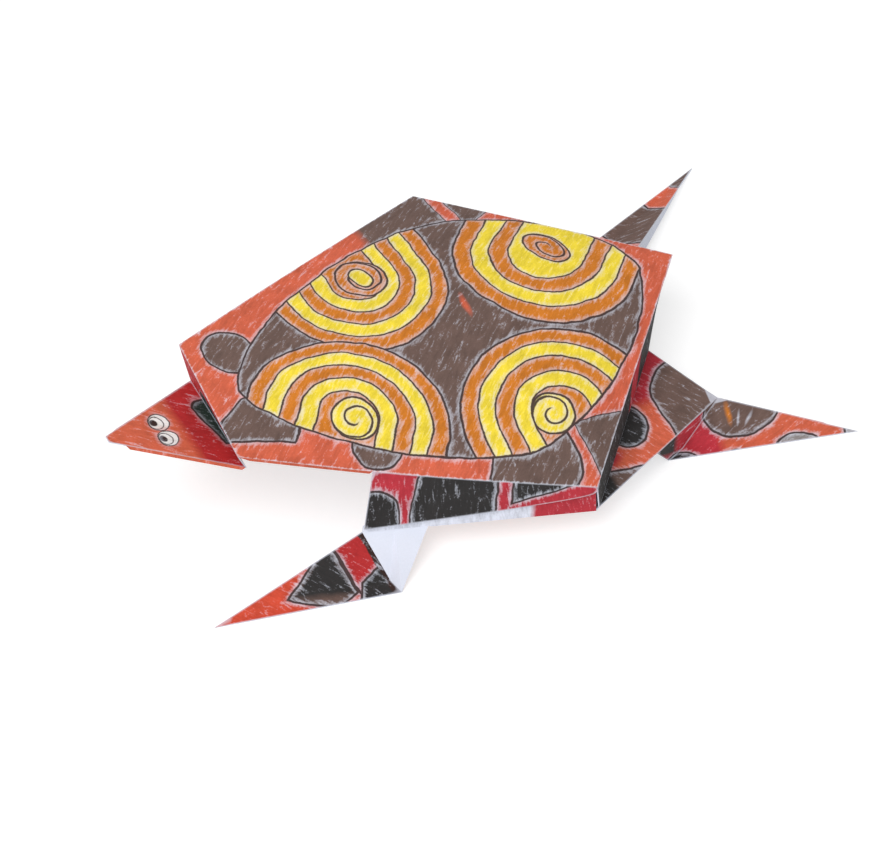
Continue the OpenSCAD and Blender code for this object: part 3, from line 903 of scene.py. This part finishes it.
def finish_print(drawing, stroke_turn, margin, fold_wear_and_highlight):
    """Turns a drawing into crayoned paper. Wax lies in strokes about 0.8 mm wide and 3.6 mm long on
    the tooth of the paper, whose grain is 0.4 mm. It leaves specks half bare, keeps off the lines by the
    share margin, and along the folds it is worn off and paled to a painted highlight, over a width in mm
    that fold_wear_and_highlight gives."""
    tree, uv = drawing.tree, drawing.uv
    paper, ink = (*drawing.inks["paper"], 1), (*drawing.inks["ink"], 1)
    along_strokes = (0, 0, math.radians(stroke_turn))
    turned = add(tree, "Mapping", [uv, (0, 0, 0), along_strokes, (3.6, 0.8, 1)], vector_type="TEXTURE")
    stroke = add(tree, "TexNoise", {"Vector": turned, "Scale": 1.0, "Detail": 4.0, "Roughness": 0.6,
                                    "Distortion": 0.8})
    tooth = add(tree, "TexNoise", {"Vector": uv, "Scale": 2.3, "Detail": 3.0, "Roughness": 0.6})
    cloud = add(tree, "TexNoise", {"Vector": uv, "Scale": 0.22, "Detail": 3.0})
    wax = add(tree, "Math", [tooth, 0.4, stroke], operation="MULTIPLY_ADD")
    # Pressure: each colour goes lighter and darker along the strokes and in soft clouds
    tone = add(tree, "Math", [cloud, 0.7, wax], operation="MULTIPLY_ADD")
    tone = add(tree, "MapRange", [tone, 0.75, 1.35, 1.25, 0.75])
    colour = add(tree, "HueSaturation", {"Value": tone, "Color": drawing.colour})
    bare = add(tree, "MapRange", [wax, 0.62, 0.44, 0.0, 0.5])
    if drawing.line is not None:
        off = add(tree, "Math", [wax, 3.2, drawing.line], operation="MULTIPLY_ADD")
        edge = add(tree, "MapRange", [off, 3.3, 2.3, 0.0, margin])
        bare = add(tree, "Math", [bare, edge], operation="MAXIMUM")
    colour = add(tree, "Mix", {0: bare, 6: colour, 7: paper}, out=2, data_type="RGBA")
    if drawing.line is not None:
        thick = add(tree, "Math", [tooth, 0.3, drawing.line], operation="MULTIPLY_ADD")
        inked = add(tree, "MapRange", [thick, 0.47, 0.32, 0.0, 0.95])
        colour = add(tree, "Mix", {0: inked, 6: colour, 7: ink}, out=2, data_type="RGBA")
    # Paper shows through along the folds: crayon worn off there, and a painted highlight on the fold's edge
    if fold_wear_and_highlight:
        inside = add(tree, "Attribute", [], out=2, attribute_name=EDGE_MM, attribute_type="GEOMETRY")
        rubbed_and_highlit = add(tree, "Math", [wax, fold_wear_and_highlight, inside], operation="MULTIPLY_ADD")
        rubbed_and_highlit = add(tree, "MapRange", [rubbed_and_highlit, fold_wear_and_highlight * 0.7 + 0.3, fold_wear_and_highlight * 0.7 - 0.05, 0.0, 0.7])
        colour = add(tree, "Mix", {0: rubbed_and_highlit, 6: colour, 7: paper}, out=2, data_type="RGBA")
    height = add(tree, "Math", [tooth, 0.5, wax], operation="MULTIPLY_ADD")
    return colour, height


def paper_material(name, colours, ground, draw, stroke_turn, margin, fold_wear_and_highlight):
    """Craft paper, about 100 g per square metre, uncoated and matt: the fibres give a soft tooth,
    and wax crayon on it keeps a slight sheen. Without a drawing it is the bare sheet."""
    material = bpy.data.materials.new(name)
    tree = empty_tree(material)
    if draw is None:
        uv = add(tree, "UVMap", [], uv_map=UV_MAP)
        fibre = add(tree, "TexNoise", {"Vector": uv, "Scale": 2.4, "Detail": 4.0, "Roughness": 0.7})
        cloud = add(tree, "TexNoise", {"Vector": uv, "Scale": 0.09, "Detail": 2.0})
        tone = add(tree, "Math", [fibre, 0.5, cloud], operation="MULTIPLY_ADD")
        tone = add(tree, "MapRange", [tone, 0.5, 1.0, 0.93, 1.04])
        colour = add(tree, "HueSaturation", {"Value": tone, "Color": (*colours[ground], 1)})
        height = fibre
    else:
        drawing = Drawing(tree, colours, ground)
        draw(drawing)
        colour, height = finish_print(drawing, stroke_turn, margin, fold_wear_and_highlight)
    normal = add(tree, "Bump", {"Strength": 0.25, "Distance": 0.00006, "Height": height})
    shader = add(tree, "BsdfPrincipled", {"Base Color": colour, "Roughness": 0.78, "IOR": 1.45,
                                          "Specular IOR Level": 0.3, "Normal": normal})
    add(tree, "OutputMaterial", {"Surface": shader})
    return material


# Name, material, ground, drawing, turn of the strokes, pale margins, and wear with a painted highlight along
# the folds
PAPERS = (
    # The bare reverse, the cut edges and the bare specks take the paper colour, whose bluish grey is painted
    # cool shade
    ("reverse", "bare craft paper, reverse", "paper", None, 0.0, 0.0, 0.0),
    ("edge", "cut paper edge", "paper", None, 0.0, 0.0, 0.0),
    ("hem", "crayoned paper, hems and belly", "coral", lambda drawing: None, 40.0, 0.0, 0.0),
    ("shell", "crayoned paper, shell", "coral", draw_shell, -42.0, 0.5, 0.9),
    ("head", "crayoned paper, head", "red", draw_head, 30.0, 0.3, 0.2),
    ("wall", "crayoned paper, side wall", "crimson", draw_wall, 82.0, 0.65, 0.1),
    ("cuff", "crayoned paper, cuff", "crimson", draw_cuff, 82.0, 0.0, 0.0),
    ("rear", "crayoned paper, rear wall", "black", draw_rear, 70.0, 0.6, 0.2),
    ("front_leg", "crayoned paper, front leg", "scarlet", draw_front_leg, 60.0, 0.6, 0.1),
    ("flap", "crayoned paper, rear flap", "coral", draw_flap, 60.0, 0.5, 0.2),
    ("near_leg", "crayoned paper, near rear leg", "crimson", draw_near_leg, 30.0, 0.6, 0.1),
    ("far_leg", "crayoned paper, far rear leg", "coral", draw_far_leg, 50.0, 0.5, 0.1),
)


class TURTLE_OT_fold(bpy.types.Operator):
    """Fold the printed sheet into the turtle, with its thickness, print, and folds worn pale with a painted
    highlight
    """

    bl_idname = "turtle.fold"
    bl_label = "Fold the sheet"

    def execute(self, context):
        s = in_mm(context.scene.turtle_sizes)
        colours = {name: tuple(getattr(context.scene.turtle_colours, name))
                   for name in TurtleColours.__annotations__}
        names = [p[0] for p in PAPERS]
        points, faces, places, paper, inside = thick_sheet(sheet_patches(s), names, s["paper"])
        if not np.isfinite(points).all():
            raise RuntimeError("The folds don't meet: change the sizes")
        mesh = bpy.data.meshes.new(PIECE)
        mesh.from_pydata(points, [], faces)
        mesh.polygons.foreach_set("material_index", paper.astype(np.int32))
        mesh.uv_layers.new(name=UV_MAP).uv.foreach_set("vector", places.reshape(-1).astype(np.float32))
        edge = mesh.attributes.new(EDGE_MM, "FLOAT", "POINT")
        edge.data.foreach_set("value", inside.astype(np.float32))
        mesh.shade_smooth()
        mesh.set_sharp_from_angle(angle=SHARP_ANGLE)
        for _, name, ground, *rest in PAPERS:
            mesh.materials.append(paper_material(name, colours, ground, *rest))
        turtle = bpy.data.objects.new(PIECE, mesh)
        context.scene.collection.objects.link(turtle)
        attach(turtle, "root")
        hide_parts("folded_sheet")
        return {"FINISHED"}


# The stage

def seen_directly(tree):
    """1 where the camera sees a surface straight or in a gloss, and 0 where it only gives light."""
    ray = tree.nodes.new("ShaderNodeLightPath").outputs
    return add(tree, "Math", [ray["Is Camera Ray"], ray["Is Glossy Ray"]], operation="MAXIMUM")


def studio_floor(studio):
    """A plain square floor. To the camera it glows to white and keeps the object's shadow, and on
    the object it throws back only what a matt floor would."""
    corners = [(x * FLOOR_HALF, y * FLOOR_HALF, 0) for x, y in ((-1, -1), (1, -1), (1, 1), (-1, 1))]
    mesh = bpy.data.meshes.new("studio_floor")
    mesh.from_pydata(corners, [], [(0, 1, 2, 3)])
    material = bpy.data.materials.new("matt white studio floor")
    tree = empty_tree(material)
    lit = add(tree, "BsdfDiffuse", {"Color": (*studio.floor, 1)})
    soft = add(tree, "BsdfDiffuse", {"Color": FLOOR_GREY})
    glow = add(tree, "Emission", {"Color": WHITE, "Strength": FLOOR_GLOW})
    bright = add(tree, "AddShader", [soft, glow])
    add(tree, "OutputMaterial", {"Surface": add(tree, "MixShader", [seen_directly(tree), lit, bright])})
    mesh.materials.append(material)
    return bpy.data.objects.new("studio_floor", mesh)


def studio_world(studio):
    """Even light from all round, seen as plain white."""
    world = bpy.data.worlds.new("studio")
    tree = empty_tree(world)
    even = add(tree, "Background", {"Color": WHITE, "Strength": studio.sky})
    white = add(tree, "Background", {"Color": WHITE, "Strength": 1.0})
    add(tree, "OutputWorld", {"Surface": add(tree, "MixShader", [seen_directly(tree), even, white])})
    return world


def studio_lamp(studio):
    """A soft round lamp over the turtle's head, turned to the middle of the floor."""
    lamp = bpy.data.lights.new("soft_key", "AREA")
    lamp.shape, lamp.size, lamp.energy = "DISK", LAMP_SIZE, studio.key
    key = bpy.data.objects.new("soft_key", lamp)
    key.location = LAMP_PLACE
    key.rotation_euler = (-key.location).to_track_quat("-Z", "Y").to_euler()
    return key


def studio_camera(studio):
    """The camera where the photograph was taken from."""
    lens = bpy.data.cameras.new("photo_camera")
    lens.sensor_width, lens.lens = 36.0, studio.lens
    lens.clip_start, lens.clip_end = 0.01, 20.0
    camera = bpy.data.objects.new("photo_camera", lens)
    camera.location = studio.eye
    camera.rotation_euler = (studio.aim - studio.eye).to_track_quat("-Z", "Y").to_euler()
    return camera


class TURTLE_OT_stage(bpy.types.Operator):
    """Set the pale floor, the soft light and the camera"""

    bl_idname = "turtle.stage"
    bl_label = "Set the stage"

    def execute(self, context):
        scene, studio = context.scene, context.scene.turtle_studio
        floor, key, camera = studio_floor(studio), studio_lamp(studio), studio_camera(studio)
        for thing in (floor, key, camera):
            scene.collection.objects.link(thing)
        scene.world = studio_world(studio)
        scene.camera = camera
        scene.view_settings.view_transform = "Standard"
        return {"FINISHED"}


class TURTLE_PT_panel(bpy.types.Panel):
    """Sizes, colours and studio of the paper turtle"""

    bl_idname = "TURTLE_PT_panel"
    bl_label = "Paper Turtle"
    bl_space_type = "VIEW_3D"
    bl_region_type = "UI"
    bl_category = "Turtle"

    def draw(self, context):
        for title, name, operator in (
                ("Sheet", "turtle_sizes", "turtle.fold"), ("Print", "turtle_colours", ""),
                ("Studio", "turtle_studio", "turtle.stage")):
            box = self.layout.box()
            box.label(text=title)
            group = getattr(context.scene, name)
            for prop in type(group).__annotations__:
                box.prop(group, prop)
            if operator:
                box.operator(operator)


CLASSES = (TurtleSizes, TurtleColours, TurtleStudio, TURTLE_OT_fold, TURTLE_OT_stage, TURTLE_PT_panel)
GROUPS = {"turtle_sizes": TurtleSizes, "turtle_colours": TurtleColours, "turtle_studio": TurtleStudio}


def register():
    """Adds the classes, and the groups of settings to the scene."""
    for c in CLASSES:
        bpy.utils.register_class(c)
    for name, group in GROUPS.items():
        setattr(bpy.types.Scene, name, bpy.props.PointerProperty(type=group))


def unregister():
    """Takes the groups and the classes away again."""
    for name in GROUPS:
        delattr(bpy.types.Scene, name)
    for c in reversed(CLASSES):
        bpy.utils.unregister_class(c)


def main():
    """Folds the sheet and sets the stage."""
    register()
    bpy.ops.turtle.fold()
    bpy.ops.turtle.stage()


if __name__ == "__main__":
    main()
